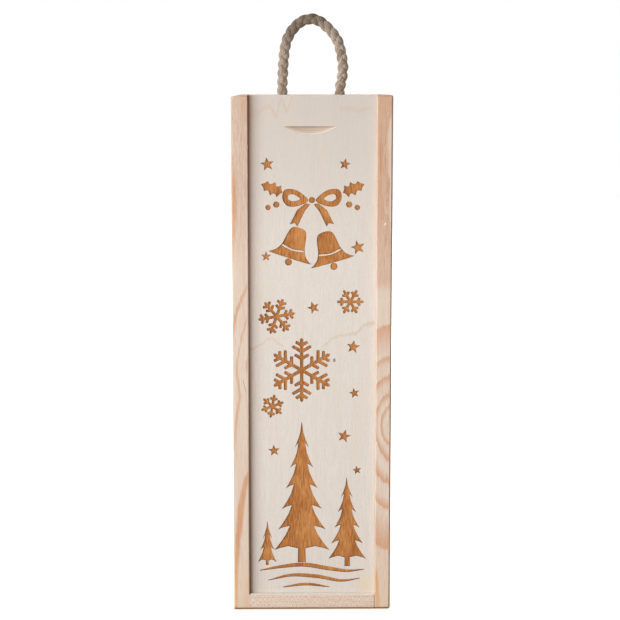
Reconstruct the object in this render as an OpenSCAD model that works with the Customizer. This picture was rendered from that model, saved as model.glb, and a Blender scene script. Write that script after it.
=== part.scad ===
// A tall wooden bottle box with a sliding plywood lid and a rope handle.
// It stands upright. The origin is at the centre of its base, +Z is up,
// the lid faces -Y and +X is to the right of someone who looks at the lid.
// All sizes are in millimetres.

/* [Box] */
// Width across the two side boards
box_w = 108; // [96:1:130]
// Depth from the front edges of the side boards to the back panel's face
box_d = 100; // [88:1:130]
// Height of the box without its handle
box_h = 354; // [300:1:420]
// Thickness of the two side boards
side_t = 11; // [9.5:0.5:14]
// Thickness of the bottom and top end boards
end_t = 11; // [9:0.5:14]
// Width of the eased edges of the boards
ease = 1; // [0.4:0.1:1.5]

/* [Sliding lid] */
// Thickness of the plywood lid
lid_t = 4; // [3:0.5:5]
// Distance from the front edges of the boards back to the lid
lid_recess = 3.5; // [2.5:0.5:5]
// Depth of the grooves that the lid runs in
groove_depth = 5; // [4:0.5:6]
// Room between the lid's faces and each wall of a groove
lid_face_gap = 0.25; // [0.1:0.05:0.5]
// Room between the lid's long edges and the groove floors
lid_edge_gap = 0.5; // [0.25:0.05:1]

/* [Finger notch] */
// Length of the notch's straight upper edge
notch_w = 36; // [24:1:45]
// Height of the notch from its straight edge to its lowest point
notch_h = 5.5; // [4:0.5:8]
// Depth of the notch under its straight edge
notch_depth = 2.5; // [1.5:0.25:2.5]
// Distance from the lid's top edge down to the notch
notch_drop = 21.5; // [12:0.5:40]
// Distance of the notch from the lid's middle line
notch_shift = -1.2; // [-4:0.1:4]

/* [Back panel] */
// Thickness of the plywood back panel
back_t = 4; // [3:0.5:5]
// Distance that the back panel reaches into each side board
rebate_depth = 5; // [4:0.5:6]
// Room between the back panel and each side board
back_gap = 0.25; // [0.1:0.05:0.5]

/* [Rope] */
// Diameter of the rope
rope_d = 7.5; // [6:0.5:8]
// Distance between the two rope holes
hole_spacing = 40; // [34:1:44]
// Room round the rope in its holes
hole_gap = 0.5; // [0.3:0.1:1]
// Width of the eased mouths of the rope holes
mouth_ease = 1; // [0.5:0.1:2]
// Height of the point where the rope bends, above the top end board
bend_rise = 3.5; // [3.5:0.1:5]
// Diameter of the knots inside the box
knot_d = 18; // [16:0.5:20]
// Height of the knots
knot_h = 15; // [13:0.5:18]
// Length of the rope's loose end under each knot
tail_l = 12; // [8:1:16]
// Diameter of the frayed tip of each loose end
fray_d = 10; // [9:0.5:12]

/* [Nails] */
// Diameter of the brads that hold the side boards
brad_d = 1.6; // [1.2:0.1:2]
// Length of those brads
brad_l = 25; // [20:1:26]
// Distance of the outer brads from the ends of their row
brad_inset = 14; // [8:1:20]
// Diameter of the pins that hold the back panel
pin_d = 1.2; // [1:0.1:1.6]
// Length of those pins
pin_l = 14; // [10:1:18]
// Distance of the outer pins from the top and the base
pin_inset = 32; // [24:1:50]
// Distance of the pins in the end boards from the side boards
end_pin_inset = 20; // [12:1:26]
// Room round the nails in the wood
nail_gap = 0.02; // [0.01:0.01:0.05]

/* [Hidden] */

pine = [0.86, 0.74, 0.64];
pale_pine = [0.88, 0.79, 0.70];
birch = [0.87, 0.83, 0.78];
jute = [0.66, 0.58, 0.48];
steel = [0.62, 0.62, 0.60];

// Faces of the box
front_y = -box_d / 2;
back_y = box_d / 2;
outer_x = box_w / 2;
inner_x = outer_x - side_t;

// The lid, its grooves and the panel's rebates
lid_front_y = front_y + lid_recess;
groove_front_y = lid_front_y - lid_face_gap;
groove_back_y = lid_front_y + lid_t + lid_face_gap;
groove_floor_x = inner_x + groove_depth;
groove_floor_z = end_t - groove_depth;
panel_y = back_y - back_t;
rebate_x = inner_x + rebate_depth;

// The finger notch is cut by an upright cone in front of the lid
notch_axis = (pow(notch_w / 2, 2) / notch_depth - notch_depth) / 2;

// The rope's holes and bends
rope_r = rope_d / 2;
hole_r = rope_r + hole_gap;
hole_y = (groove_back_y + panel_y) / 2;
bend_z = box_h + bend_rise;
leg_top_z = box_h - 0.8;
knot_ring_r = knot_h / 4 + 0.5;

// Nails: rows of three brads to a joint, and four pins up each side
nail_head = 1.8;      // width of a nail's head, in nail diameters
nail_head_t = 0.6;
brads_in_row = 3;
pins_in_row = 4;

over = 0.1;           // how far cutting shapes stand out of what they cut
smooth = 96;

// The rope's middle line from the left bend to the right one, as
// [x, y, z] from the point midway between the two bends. It stands up
// stiffly, with a rounded top and its right leg bowed outwards.
route_span = 40;
ROUTE = [
    [-20, 0, 0], [-20, 0, 4.5], [-19.5, 0, 12.5], [-19.2, 0.2, 18.5],
    [-18.6, 0.5, 25], [-17.8, 0.8, 30], [-16.5, 1, 34.5],
    [-14.5, 1.2, 38.5], [-12, 1.4, 42], [-9, 1.5, 45], [-5.5, 1.5, 47.2],
    [-1.5, 1.5, 48.3], [2.8, 1.5, 48.2], [6.9, 1.4, 46.3],
    [10.5, 1.2, 43.4], [13.9, 1, 40], [16.8, 0.8, 36.2],
    [19, 0.6, 32], [20.4, 0.4, 27.2], [21.5, 0.2, 21.8],
    [22.1, 0, 16.5], [21.8, 0, 10.5], [20.8, 0, 4.5], [20, 0, 0]
];

// ---- Helpers ----------------------------------------------------------

// A bar along Z that eases the edge that it is centred on
module edge_bar(length) {
    rotate([0, 0, 45])
        cube([ease * sqrt(2), ease * sqrt(2), length + 2 * over], center = true);
}

module edge_bar_x(length) { rotate([0, 90, 0]) edge_bar(length); }
module edge_bar_y(length) { rotate([90, 0, 0]) edge_bar(length); }

// A nail that points along +Z with its head's face at z = 0
module nail(d, length, gap = 0) {
    cylinder(h = length + gap, d = d + 2 * gap, $fn = 24);
    translate([0, 0, -over * sign(gap)])
        cylinder(h = nail_head_t + gap + over * sign(gap),
                 d = d * nail_head + 2 * gap, $fn = 24);
}

// The brads of the right side board, driven in from its outer face
module brad_rows(gap = 0) {
    first_y = groove_back_y + brad_inset;
    step_y = (panel_y - brad_inset - first_y) / (brads_in_row - 1);
    for (z = [end_t / 2, box_h - end_t / 2], i = [0 : brads_in_row - 1])
        translate([outer_x, first_y + i * step_y, z])
            rotate([0, -90, 0]) nail(brad_d, brad_l, gap);
}

// The pins of the back panel, driven in from behind
module pin_rows(gap = 0) {
    side_x = inner_x + rebate_depth / 2;
    step_z = (box_h - 2 * pin_inset) / (pins_in_row - 1);
    end_x = inner_x - end_pin_inset;
    for (x = [-side_x, side_x], i = [0 : pins_in_row - 1])
        translate([x, back_y, pin_inset + i * step_z])
            rotate([90, 0, 0]) nail(pin_d, pin_l, gap);
    for (x = [-end_x, end_x], z = [end_t / 2, box_h - end_t / 2])
        translate([x, back_y, z])
            rotate([90, 0, 0]) nail(pin_d, pin_l, gap);
}

function unit(v) = v / norm(v);

// Middle points and radii of the rings of a tube with round ends
CAP_ANGLES = [82, 60, 30];
function tube_rings(path, r) =
    let (last = len(path) - 1,
         head = unit(path[1] - path[0]),
         tail = unit(path[last] - path[last - 1]),
         caps = len(CAP_ANGLES))
    concat(
        [for (a = CAP_ANGLES) [path[0] - head * r * sin(a), r * cos(a)]],
        [for (p = path) [p, r]],
        [for (i = [caps - 1 : -1 : 0])
            [path[last] + tail * r * sin(CAP_ANGLES[i]), r * cos(CAP_ANGLES[i])]]);

// One closed tube along a path that lies nearly in an upright plane
module tube(path, r, sides = 12) {
    rings = tube_rings(path, r);
    n = len(rings);
    points = [for (i = [0 : n - 1])
        let (ahead = unit(rings[min(i + 1, n - 1)][0] - rings[max(i - 1, 0)][0]),
             across = unit(cross(ahead, [0, 1, 0])),
             out = cross(across, ahead))
        for (k = [0 : sides - 1])
            rings[i][0] + rings[i][1]
                * (across * cos(360 * k / sides) + out * sin(360 * k / sides))];
    walls = [for (i = [0 : n - 2], k = [0 : sides - 1])
        let (m = (k + 1) % sides)
        [i * sides + k, i * sides + m, (i + 1) * sides + m, (i + 1) * sides + k]];
    first_end = [for (k = [sides - 1 : -1 : 0]) k];
    last_end = [for (k = [0 : sides - 1]) (n - 1) * sides + k];
    polyhedron(points, concat(walls, [first_end, last_end]), convexity = 4);
}

// ---- Boards and panels ------------------------------------------------

// Plan of the right side board: eased corners, lid groove, panel rebate
module side_board_plan() {
    polygon([
        [outer_x - ease, front_y], [outer_x, front_y + ease],
        [outer_x, back_y - ease], [outer_x - ease, back_y],
        [rebate_x, back_y], [rebate_x, panel_y], [inner_x, panel_y],
        [inner_x, groove_back_y], [groove_floor_x, groove_back_y],
        [groove_floor_x, groove_front_y], [inner_x, groove_front_y],
        [inner_x, front_y + ease], [inner_x + ease, front_y]
    ]);
}

module side_board() {
    difference() {
        linear_extrude(height = box_h) side_board_plan();
        for (z = [0, box_h]) {
            translate([outer_x, 0, z]) edge_bar_y(box_d);
            for (y = [front_y, back_y])
                translate([outer_x - side_t / 2, y, z]) edge_bar_x(side_t);
        }
        brad_rows(nail_gap);
        pin_rows(nail_gap);
    }
}

module right_side_board() { color(pine) side_board(); }
module left_side_board() { color(pine) mirror([1, 0, 0]) side_board(); }

// The board under the box, with the lid's groove across its upper face
module bottom_end_board() {
    color(pale_pine) difference() {
        translate([-inner_x, front_y, 0])
            cube([2 * inner_x, panel_y - front_y, end_t]);
        translate([-inner_x - over, groove_front_y, groove_floor_z])
            cube([2 * (inner_x + over), groove_back_y - groove_front_y,
                  groove_depth + over]);
        for (z = [0, end_t])
            translate([0, front_y, z]) edge_bar_x(2 * inner_x);
        both_sides() brad_rows(nail_gap);
        pin_rows(nail_gap);
    }
}

// The board that carries the handle. The lid slides past its front edge.
module top_end_board() {
    color(pale_pine) difference() {
        translate([-inner_x, groove_back_y, box_h - end_t])
            cube([2 * inner_x, panel_y - groove_back_y, end_t]);
        for (x = [-hole_spacing / 2, hole_spacing / 2])
            translate([x, hole_y, box_h]) rope_hole();
        both_sides() brad_rows(nail_gap);
        pin_rows(nail_gap);
    }
}

// A hole down through the top end board, its mouth eased
module rope_hole() {
    translate([0, 0, -end_t - over])
        cylinder(h = end_t + 2 * over, r = hole_r, $fn = smooth);
    translate([0, 0, -mouth_ease])
        cylinder(h = mouth_ease + over, r1 = hole_r,
                 r2 = hole_r + mouth_ease + over, $fn = smooth);
}

module both_sides() {
    children();
    mirror([1, 0, 0]) children();
}

module back_panel() {
    half_w = rebate_x - back_gap;
    color(birch) difference() {
        translate([-half_w, panel_y, 0]) cube([2 * half_w, back_t, box_h]);
        pin_rows(nail_gap);
    }
}

// The lid stands on the floor of the groove in the bottom end board
module sliding_lid() {
    half_w = groove_floor_x - lid_edge_gap;
    color(birch) difference() {
        translate([-half_w, lid_front_y, groove_floor_z])
            cube([2 * half_w, lid_t, box_h - groove_floor_z]);
        translate([notch_shift, lid_front_y - notch_axis,
                   box_h - notch_drop - notch_h])
            cylinder(h = notch_h, r1 = notch_axis,
                     r2 = notch_axis + notch_depth, $fn = smooth);
    }
}

// ---- Rope -------------------------------------------------------------

// The loop above the box, which bends over at its two holes
module rope_handle() {
    path = [for (p = ROUTE)
        [p.x * hole_spacing / route_span, hole_y + p.y, bend_z + p.z]];
    color(jute) tube(path, rope_r);
}

// One leg of the rope in its hole, its knot and its frayed loose end
module rope_knot(x) {
    knot_top_z = box_h - end_t;
    ring_x = knot_d / 2 - knot_ring_r;
    tail_z = knot_top_z - knot_h - tail_l;
    fray_h = tail_l / 2;
    color(jute) translate([x, hole_y, 0]) {
        translate([0, 0, tail_z + fray_h / 2])
            cylinder(h = leg_top_z - tail_z - fray_h / 2, r = rope_r, $fn = smooth);
        translate([0, 0, tail_z])
            cylinder(h = fray_h, d1 = fray_d, d2 = rope_d, $fn = smooth);
        rotate_extrude($fn = smooth) {
            for (z = [knot_top_z - knot_ring_r,
                      knot_top_z - knot_h + knot_ring_r])
                translate([ring_x, z]) circle(r = knot_ring_r, $fn = smooth);
            translate([0, knot_top_z - knot_h + knot_ring_r])
                square([ring_x + knot_ring_r / 2, knot_h - 2 * knot_ring_r]);
        }
    }
}

module left_rope_knot() { rope_knot(-hole_spacing / 2); }
module right_rope_knot() { rope_knot(hole_spacing / 2); }

// ---- Nails ------------------------------------------------------------

module right_side_brads() { color(steel) brad_rows(); }
module left_side_brads() { color(steel) mirror([1, 0, 0]) brad_rows(); }
module back_panel_pins() { color(steel) pin_rows(); }

left_side_board();
right_side_board();
bottom_end_board();
top_end_board();
back_panel();
sliding_lid();
rope_handle();
left_rope_knot();
right_rope_knot();
left_side_brads();
right_side_brads();
back_panel_pins();
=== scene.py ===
"""A tall pine box for a bottle: sliding engraved lid, finger notch and plaited rope handle.

The box stands upright on the floor at the origin and its lid faces -Y. Everything is in metres.
"""
import math
import random

import bpy
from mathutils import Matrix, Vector


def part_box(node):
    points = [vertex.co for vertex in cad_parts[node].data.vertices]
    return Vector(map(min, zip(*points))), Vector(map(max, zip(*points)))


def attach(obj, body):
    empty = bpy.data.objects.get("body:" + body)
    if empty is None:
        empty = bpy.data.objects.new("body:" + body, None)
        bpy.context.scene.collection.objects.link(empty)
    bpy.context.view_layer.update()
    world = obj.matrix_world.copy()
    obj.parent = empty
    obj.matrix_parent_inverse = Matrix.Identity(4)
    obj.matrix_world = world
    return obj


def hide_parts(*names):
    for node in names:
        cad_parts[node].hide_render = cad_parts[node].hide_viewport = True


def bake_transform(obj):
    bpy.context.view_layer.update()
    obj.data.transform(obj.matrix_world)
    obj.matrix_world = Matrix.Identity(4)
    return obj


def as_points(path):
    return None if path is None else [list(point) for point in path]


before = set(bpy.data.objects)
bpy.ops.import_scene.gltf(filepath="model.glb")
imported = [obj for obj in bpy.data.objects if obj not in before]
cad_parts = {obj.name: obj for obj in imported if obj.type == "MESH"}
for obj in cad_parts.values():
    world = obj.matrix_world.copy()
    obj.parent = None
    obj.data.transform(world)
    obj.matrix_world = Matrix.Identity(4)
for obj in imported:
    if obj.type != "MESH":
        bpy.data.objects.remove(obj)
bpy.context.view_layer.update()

MM = 0.001

# ---- Sizes taken from the frame ----

RIGHT_LOW, RIGHT_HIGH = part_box("right_side_board")
BASE_LOW, BASE_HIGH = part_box("bottom_end_board")
CROWN_LOW, CROWN_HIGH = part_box("top_end_board")
PANEL_LOW, PANEL_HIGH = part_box("back_panel")
LID_LOW, LID_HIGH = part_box("sliding_lid")
KNOT_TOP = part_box("right_rope_knot")[1].z

FRONT_Y, BACK_Y = RIGHT_LOW.y, RIGHT_HIGH.y
OUTER_X, INNER_X = RIGHT_HIGH.x, RIGHT_LOW.x
BOX_TOP = RIGHT_HIGH.z
END_BOARD_T = BASE_HIGH.z
LID_FRONT = LID_LOW.y
LID_FACE_GAP, LID_SIDE_GAP = CROWN_LOW.y - LID_HIGH.y, 0.5 * MM
GROOVE_FRONT = LID_FRONT - LID_FACE_GAP
GROOVE_BACK = CROWN_LOW.y
GROOVE_FLOOR_X = LID_HIGH.x + LID_SIDE_GAP
PANEL_GAP = 0.25 * MM
REBATE_X = PANEL_HIGH.x + PANEL_GAP
HOLE_X, HOLE_Y = 20 * MM, (CROWN_LOW.y + CROWN_HIGH.y) / 2
HOLE_GAP = 0.5 * MM
EASE = 1 * MM
# how far a cutting tool reaches past the wood
OVER = 2 * MM

NOTCH_W, NOTCH_H, NOTCH_DEPTH = 37 * MM, 5.5 * MM, 2.5 * MM
NOTCH_TOP, NOTCH_X = LID_HIGH.z - 20.8 * MM, -1.4 * MM

ROPE_D = 7.5 * MM
BEND_Z = BOX_TOP + 3.5 * MM

# ---- Camera ----

CAMERA_SPOT = Vector((-0.0145, -1.1113, 0.3591))
CAMERA_AIM = Vector((-0.0014, FRONT_Y, 0.2099))
CAMERA_LENS = 92.03


def facing_turn(spot, aim):
    """The turn of a camera or lamp that looks from one point at another."""
    return (aim - spot).to_track_quat("-Z", "Y").to_euler()


def set_camera():
    """A long lens level with the top of the box, tipped down to the middle of its front."""
    bpy.ops.object.camera_add(location=CAMERA_SPOT)
    camera = bpy.context.object
    camera.name = "front_camera"
    camera.rotation_euler = facing_turn(CAMERA_SPOT, CAMERA_AIM)
    camera.data.sensor_width = 36
    camera.data.lens = CAMERA_LENS
    camera.data.clip_start = 0.05
    bpy.context.scene.camera = camera


set_camera()

# ---- Modelling helpers ----


def only(*pieces):
    """Selects these pieces alone and makes the first one active."""
    bpy.ops.object.select_all(action="DESELECT")
    for piece in pieces:
        piece.select_set(True)
    if pieces:
        bpy.context.view_layer.objects.active = pieces[0]


def settle(piece, name):
    """Puts the piece's place, turn and size into its mesh."""
    only(piece)
    bpy.ops.object.transform_apply(location=True, rotation=True, scale=True)
    piece.name = name
    piece.data.name = name
    return piece


def shape(name, add, turn=(0, 0, 0), **settings):
    """A primitive, turned where it stands."""
    only()
    add(**settings)
    made = bpy.context.object
    made.rotation_euler = turn
    return settle(made, name)


def block(name, corner, opposite):
    """A box between two opposite corners."""
    low = Vector(map(min, corner, opposite))
    high = Vector(map(max, corner, opposite))
    return shape(name, bpy.ops.mesh.primitive_cube_add, size=1, location=(low + high) / 2,
                 scale=high - low)


def bar(name, radius, start, end, sides):
    """A round bar from one point to another."""
    start, end = Vector(start), Vector(end)
    run = end - start
    return shape(name, bpy.ops.mesh.primitive_cylinder_add,
                 run.to_track_quat("Z", "Y").to_euler(), vertices=sides, radius=radius,
                 depth=run.length, location=(start + end) / 2)


def apply_modifiers(piece):
    only(piece)
    for modifier in list(piece.modifiers):
        bpy.ops.object.modifier_apply(modifier=modifier.name)


def boolean(piece, tool, operation):
    """Cuts with the tool, or joins it on, and removes the tool."""
    cut = piece.modifiers.new("cut", "BOOLEAN")
    cut.operation = operation
    cut.solver = "EXACT"
    cut.object = tool
    apply_modifiers(piece)
    bpy.data.objects.remove(tool, do_unlink=True)
    return piece


def cut_away(piece, *tools):
    for tool in tools:
        boolean(piece, tool, "DIFFERENCE")
    return piece


def in_edit_mode(mode, *steps):
    """Runs edit mode operators, each given with its settings, on what is selected."""
    bpy.ops.object.mode_set(mode="EDIT")
    bpy.ops.mesh.select_mode(type=mode)
    for operator, settings in steps:
        operator(**settings)
    bpy.ops.object.mode_set(mode="OBJECT")


ALL_OF_IT = (bpy.ops.mesh.select_all, {"action": "SELECT"})


def round_edges(piece, wanted, width=EASE, segments=1):
    """Bevels the edges whose two end points pass the test."""
    only(piece)
    mesh = piece.data
    for element in (*mesh.vertices, *mesh.edges, *mesh.polygons):
        element.select = False
    for edge in mesh.edges:
        edge.select = wanted(*(mesh.vertices[i].co for i in edge.vertices))
    in_edit_mode("EDGE", (bpy.ops.mesh.bevel, {"offset": width, "segments": segments, "affect": "EDGES"}))


def soften(piece, width=0.25 * MM):
    """Takes the sharpness off every edge that is still square."""
    edge = piece.modifiers.new("soften", "BEVEL")
    edge.width = width
    edge.segments = 2
    edge.limit_method = "ANGLE"
    edge.angle_limit = math.radians(60)
    edge.use_clamp_overlap = True
    apply_modifiers(piece)


def both_at(a, b, **place):
    """Whether an edge's two end points are at this x, y or z."""
    return all(abs(getattr(point, axis) - value) < 0.05 * MM
               for point in (a, b) for axis, value in place.items())


def shade(piece, degrees=20):
    """Smooth curves, while chamfers and flat faces stay flat."""
    only(piece)
    bpy.ops.object.shade_smooth_by_angle(angle=math.radians(degrees))


def dress(piece, *materials):
    for material in materials:
        piece.data.materials.append(material)


def stand_for(piece, node, body, slot, *materials):
    """The piece takes the node's place, rides on its body and wears the materials."""
    dress(piece, *materials)
    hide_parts(node)
    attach(piece, body)
    return piece


# ---- Material helpers ----

BOARD_H, EDGE_W = BOX_TOP / MM, (OUTER_X - INNER_X) / MM


def tone(red, green, blue):
    """A colour as a paint chart gives it, from 0 to 255, for a shader."""
    def linear(value):
        value /= 255
        return value / 12.92 if value <= 0.04045 else ((value + 0.055) / 1.055) ** 2.4
    return (linear(red), linear(green), linear(blue), 1)


def by_node(kind, operation, output=0):
    """A method that feeds a value, and any others after it, to one maths node."""
    def fed(self, *others):
        return self.tree.add(kind, self, *others, output=output, operation=operation)
    return fed


class Value:
    """What a node gives, for use in a formula as a number is."""

    def __init__(self, tree, socket):
        self.tree, self.socket = tree, socket

    __add__ = by_node("Math", "ADD")
    __sub__ = by_node("Math", "SUBTRACT")
    __mul__ = by_node("Math", "MULTIPLY")
    __truediv__ = by_node("Math", "DIVIDE")
    __mod__ = by_node("Math", "MODULO")
    __abs__ = by_node("Math", "ABSOLUTE")
    __gt__ = by_node("Math", "GREATER_THAN")
    __lt__ = by_node("Math", "LESS_THAN")
    larger = by_node("Math", "MAXIMUM")
    smaller = by_node("Math", "MINIMUM")
    whole = by_node("Math", "FLOOR")
    fraction = by_node("Math", "FRACT")
    cosine = by_node("Math", "COSINE")
    sine = by_node("Math", "SINE")

    def __rsub__(self, number):
        return self * -1 + number

    def axes(self):
        """Its three parts."""
        parts = self.tree.add("SeparateXYZ", self).socket.node.outputs
        return [Value(self.tree, part) for part in parts]

    def fade(self, start, end, low=0, high=1, **settings):
        """Goes from low at start to high at end and stays there beyond them."""
        return self.tree.add("MapRange", self, start, end, low, high, **settings)

    def ramp(self, *stops, length=None, interpolation="LINEAR"):
        """A grey or coloured scale of this length; each stop is (position, grey or colour)."""
        made = self.tree.add("ValToRGB", self / length if length else self).socket
        scale = made.node.color_ramp
        scale.interpolation = interpolation
        while len(scale.elements) < len(stops):
            scale.elements.new(0.5)
        for element, (position, colour) in zip(scale.elements, stops):
            element.position = position / (length or 1)
            grey = isinstance(colour, (int, float))
            element.color = (colour, colour, colour, 1) if grey else colour
        return Value(self.tree, made)


class Spot(Value):
    """A place, a direction or a colour, for use in a formula."""

    __add__ = by_node("VectorMath", "ADD")
    __sub__ = by_node("VectorMath", "SUBTRACT")
    __mul__ = by_node("VectorMath", "MULTIPLY")
    dot = by_node("VectorMath", "DOT_PRODUCT", "Value")
    length = by_node("VectorMath", "LENGTH", "Value")

    def noise(self, stretch, detail=2, roughness=0.5, output="Fac"):
        """Noise whose features are one over stretch millimetres long each way."""
        return self.tree.add("TexNoise", output=output, Vector=self * stretch, Scale=1,
                             Detail=detail, Roughness=roughness)


class Nodes:
    """A node tree that is added to node by node."""

    def __init__(self, tree):
        self.nodes, self.links = tree.nodes, tree.links

    def feed(self, socket, value):
        if isinstance(value, Value):
            self.links.new(value.socket, socket)
        elif value is not None:
            socket.default_value = value

    def add(self, kind, *inputs, output=0, **named):
        """A new node's output. Named inputs start with a capital and settings don't."""
        made = self.nodes.new("ShaderNode" + kind)
        for name, value in named.items():
            if name.islower():
                setattr(made, name, value)
        for socket, value in zip(made.inputs, inputs):
            self.feed(socket, value)
        for name, value in named.items():
            if not name.islower():
                self.feed(made.inputs[name], value)
        socket = made.outputs[output]
        return (Spot if socket.type in ("VECTOR", "RGBA") else Value)(self, socket)

    def mix(self, amount, a, b):
        """The colour that is this amount of the way from a to b."""
        other_kinds = [None] * 5
        return self.add("Mix", amount, *other_kinds, a, b, output=2, data_type="RGBA")

    def looked_at(self):
        """1 where the camera sees the surface, also in or through another one, and else 0."""
        camera, mirror, glass = (self.add("LightPath", output=f"Is {ray} Ray")
                                 for ray in ("Camera", "Glossy", "Transmission"))
        return camera.larger(mirror.larger(glass))


class Finish(Nodes):
    """A material."""

    def __init__(self, name, roughness, specular=0.3, metallic=0):
        self.material = bpy.data.materials.new(name)
        self.material.use_nodes = True
        super().__init__(self.material.node_tree)
        self.surface = self.nodes["Principled BSDF"]
        for quality, value in (("Roughness", roughness), ("Specular IOR Level", specular),
                               ("Metallic", metallic)):
            self.surface.inputs[quality].default_value = value

    def place(self, turn=(0, 0, 0)):
        """Object coordinates in millimetres, turned."""
        spot = self.add("TexCoord", output="Object")
        return self.add("Mapping", spot, None, turn, (MM, MM, MM), vector_type="TEXTURE")

    def painted(self, colour, height=None, depth=0, strength=0):
        """The material in this colour, with its height as relief of so many metres."""
        self.feed(self.surface.inputs["Base Color"], colour)
        if height:
            relief = self.add("Bump", Height=height, Strength=strength, Distance=depth)
            self.feed(self.surface.inputs["Normal"], relief)
        return self.material


def end_grain_share(finish):
    """1 on faces that look up or down, where the boards are cut across."""
    facing = abs(finish.add("TexCoord", output="Normal").axes()[2])
    return facing.ramp((0.6, 0), (0.8, 1))


def late_wood(place, rings, waves, reach):
    """How dark the growth rings are: each fades in and stops at a sharp, torn edge.

    rings is how many there are to a millimetre along each axis; they wander by reach rings in
    slow waves.
    """
    count = place.dot(rings) + (place.noise(waves, detail=1) - 0.5) * reach
    count = place.noise((2.2, 2.2, 0.12), detail=3) * 0.16 + count
    late = count.fraction().ramp((0, 0.10), (0.10, 0), (0.45, 0.06), (0.72, 0.55),
                                 (0.86, 1), (0.95, 0.75), (1, 0.10), interpolation="EASE")
    vary = place.tree.add("TexWhiteNoise", W=count.whole(), noise_dimensions="1D")
    return late * (vary * 0.55 + 0.30)


def flame(along, across, points, length=BOARD_H, core=0.25):
    """A drawn line of other grain, read off a scale that holds its course.

    Each point is (place along, place across, half width, strength); the line fades from the
    share of its half width that core gives.
    """
    stops = [(at, (middle, half, dark, 1)) for at, middle, half, dark in points]
    middle, half, dark = along.ramp(*stops, length=length, interpolation="EASE").axes()
    off = abs(across - middle) / half
    return off.fade(core, 1, 1, 0, interpolation_type="SMOOTHSTEP") * dark


# the right board's ovals: size to the dark edge of each ring, its width and its darkness
OVALS_Z = 130
OVALS = ((13.8, 3.6, 0.9), (22.2, 4.4, 1), (34.5, 6, 0.95), (47.5, 5.2, 0.85), (69.3, 18, 0.85))
OVALS_REACH = 80
HEART_Z = 225

# the left board's flames: height, place across from the lid's side, half width, darkness
LEFT_FLAMES = (
    ((0, 0.90, 0.15, 0.6), (28, 0.86, 0.20, 0.8), (47, 0.77, 0.26, 0.9),
     (58, 0.64, 0.30, 0.95), (71, 0.56, 0.31, 0.9), (82, 0.38, 0.27, 0.85),
     (92, 0.22, 0.22, 0.85), (97, 0.05, 0.16, 0.7), (101, 0, 0.03, 0)),
    ((108, 0.92, 0.06, 0), (123, 0.86, 0.11, 0.5), (135, 0.77, 0.12, 0.6),
     (143, 0.65, 0.11, 0.65), (151, 0.56, 0.11, 0.65), (158, 0.62, 0.10, 0.65),
     (166, 0.75, 0.12, 0.6), (174, 0.72, 0.10, 0.55), (181, 0.61, 0.09, 0.55),
     (190, 0.45, 0.09, 0.55), (199, 0.22, 0.09, 0.5), (207, 0.05, 0.08, 0.45),
     (211, 0, 0.02, 0)),
    ((186, 1, 0.08, 0), (197, 0.92, 0.12, 0.7), (205, 0.82, 0.13, 0.75),
     (210, 0.68, 0.14, 0.75), (216, 0.48, 0.15, 0.7), (222, 0.25, 0.16, 0.65),
     (226, 0.06, 0.14, 0.55), (230, 0, 0.04, 0)),
    ((159, 0, 0.02, 0), (164, 0, 0.16, 0.65), (172, 0.02, 0.28, 0.8),
     (179, 0, 0.14, 0.6), (184, 0, 0.02, 0)),
    ((330, 0, 0.05, 0), (341, 0.1, 0.35, 0.22), (354, 0.1, 0.5, 0.4)),
    ((236, 1, 0.05, 0), (249, 1, 0.26, 0.45), (278, 1, 0.48, 0.7),
     (292, 1, 0.44, 0.65), (308, 1, 0.24, 0.4), (320, 1, 0.04, 0)),
)
# the right board's flames, the same way, each with its core: a streak, the foot and a pale patch
RIGHT_FLAMES = (
    (((286, 0.32, 0.03, 0), (291, 0.29, 0.06, 0.6), (302, 0.26, 0.08, 0.9),
      (311, 0.24, 0.07, 0.8), (318, 0.19, 0.06, 0.4), (330, 0.10, 0.08, 0.25),
      (345, 0.06, 0.05, 0.1)), 0.25),
    (((0, 0.20, 0.30, 0.45), (5, 0.18, 0.30, 0.5), (13, 0.15, 0.24, 0.75),
      (24, 0.12, 0.17, 0.85), (34, 0.06, 0.06, 0)), 0.25),
    (((246, 1.03, 0.04, 0), (262, 1, 0.17, 0.6), (284, 1, 0.22, 0.85),
      (293, 1, 0.20, 0.85), (306, 1, 0.31, 0.95), (328, 1, 0.37, 0.95),
      (337, 1, 0.26, 0.9), (347, 1.04, 0.06, 0)), 0.75),
)


def front_edge(place, side):
    """Where a point is on a side board's narrow front: height, and 0 to 1 across from inside.

    The height jumps from fibre to fibre, so that whatever is drawn with it tears along them.
    The third value is 1 on the front and 0 on the board's broad sides.
    """
    x, y, z = place.axes()
    torn = place.noise((2.2, 2.2, 0.04), detail=4, roughness=0.6)
    up = z + (torn * 14 - 7)
    across = (x * side - INNER_X / MM) / EDGE_W
    return up, across, y.fade(FRONT_Y / MM + 1.2, FRONT_Y / MM + 4, 1, 0)


def beside_lid(place):
    return place.axes()[2] > END_BOARD_T / MM


def edge_shade_and_wear(place, across, share, brown):
    """Painted shade on the front's eased edges, above all the outer one, with a little brown from
    handling; brown is how strong it is on the outer edge.
    """
    inner = beside_lid(place) * across.ramp((0.05, 0.15), (0.07, 0))
    outer = across.ramp((0.905, 0), (0.925, brown))
    return (inner + outer) * share


def tear(place, late):
    """Breaks a drawn dark band into fibres."""
    fibres = place.noise((1.8, 1.8, 0.03), detail=4, roughness=0.7)
    return late * fibres.ramp((0.34, 0.70), (0.54, 1))


def off_arris(across):
    """Little on the eased edge beside the lid and 1 past it; grain is kept off that edge so it stays
    pale, a painted highlight where it catches the light.
    """
    return across.fade(0.04, 0.10, 0.1)


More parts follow.
